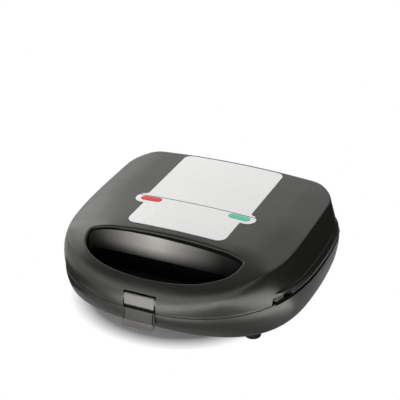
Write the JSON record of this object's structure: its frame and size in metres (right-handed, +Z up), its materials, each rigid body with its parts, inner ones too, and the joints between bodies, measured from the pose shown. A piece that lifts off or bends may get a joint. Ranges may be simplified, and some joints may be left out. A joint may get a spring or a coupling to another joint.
{
  "type": "sandwich maker",
  "caption": "Clamshell toasted sandwich maker: hinged lid with through-grip, front latch, brushed panel with lamp windows, and swappable triangle-pocket non-stick plates.",
  "frame": {"origin": "on the table, under the middle of the appliance's outline", "axes": "+Z up; the latch and grip face -Y, the hinge is at +Y; +X is the right-hand side seen from the front"},
  "size_m": [0.25, 0.2436, 0.0885],
  "materials": {
    "housing": "satin",
    "latch_plastic": "satin",
    "inner_plastic": "matte",
    "sheet_steel": "satin",
    "heater_tube": "matte",
    "nonstick": "satin",
    "spring_steel": "polished",
    "ceramic": "matte",
    "wire_insulation": "matte",
    "rubber": "matte",
    "zinc_screws": "satin",
    "steel_pin": "polished",
    "sleeve": "matte",
    "brushed_panel": "brushed",
    "red_lens": "gloss",
    "green_lens": "gloss",
    "neon_glass": "clear",
    "carrier_plastic": "matte"
  },
  "bodies": {
    "base": {"base_shell": "housing", "base_deck": "inner_plastic", "base_reflector": "sheet_steel", "base_heater": "heater_tube", "lower_plate": "nonstick", "base_release_spring": "spring_steel", "thermostat": "ceramic", "thermal_fuse": "ceramic", "terminal_block": "ceramic", "base_wiring": "wire_insulation", "cord_gland": "rubber", "foot_front_left": "rubber", "foot_front_right": "rubber", "foot_rear_left": "rubber", "foot_rear_right": "rubber", "foot_screws": "zinc_screws", "base_screws": "zinc_screws", "hinge_pin_left": "steel_pin", "hinge_pin_right": "steel_pin", "hinge_conduit": "sleeve"},
    "lid": {"lid_shell": "housing", "lid_frame": "inner_plastic", "lid_reflector": "sheet_steel", "lid_heater": "heater_tube", "upper_plate": "nonstick", "lid_release_spring": "spring_steel", "trim_panel": "brushed_panel", "lens_red": "red_lens", "lens_green": "green_lens", "neon_red": "neon_glass", "neon_green": "neon_glass", "lamp_carrier": "carrier_plastic", "lid_wiring": "wire_insulation", "lid_screws": "zinc_screws", "latch_pin": "steel_pin"},
    "latch": {"latch": "latch_plastic"},
    "base_release": {"base_release_slide": "latch_plastic"},
    "lid_release": {"lid_release_slide": "latch_plastic"}
  },
  "joints": [
    {"name": "lid_hinge", "type": "hinge", "parent": "base", "child": "lid", "pos_m": [0, 0.1176, 0.044], "axis": [-1, 0, 0], "range_deg": [0, 100], "deforming": ["hinge_conduit"]},
    {"name": "latch_pivot", "type": "hinge", "parent": "lid", "child": "latch", "pos_m": [0, -0.1106, 0.0545], "axis": [-1, 0, 0], "range_deg": [0, 25]},
    {"name": "base_release_slide_joint", "type": "slide", "parent": "base", "child": "base_release", "axis": [0, 1, 0], "range_m": [0, 0.0055], "stiffness_N_per_m": 400, "deforming": ["base_release_spring"]},
    {"name": "lid_release_slide_joint", "type": "slide", "parent": "lid", "child": "lid_release", "axis": [0, 1, 0], "range_m": [0, 0.0055], "stiffness_N_per_m": 400, "deforming": ["lid_release_spring"]}
  ]
}
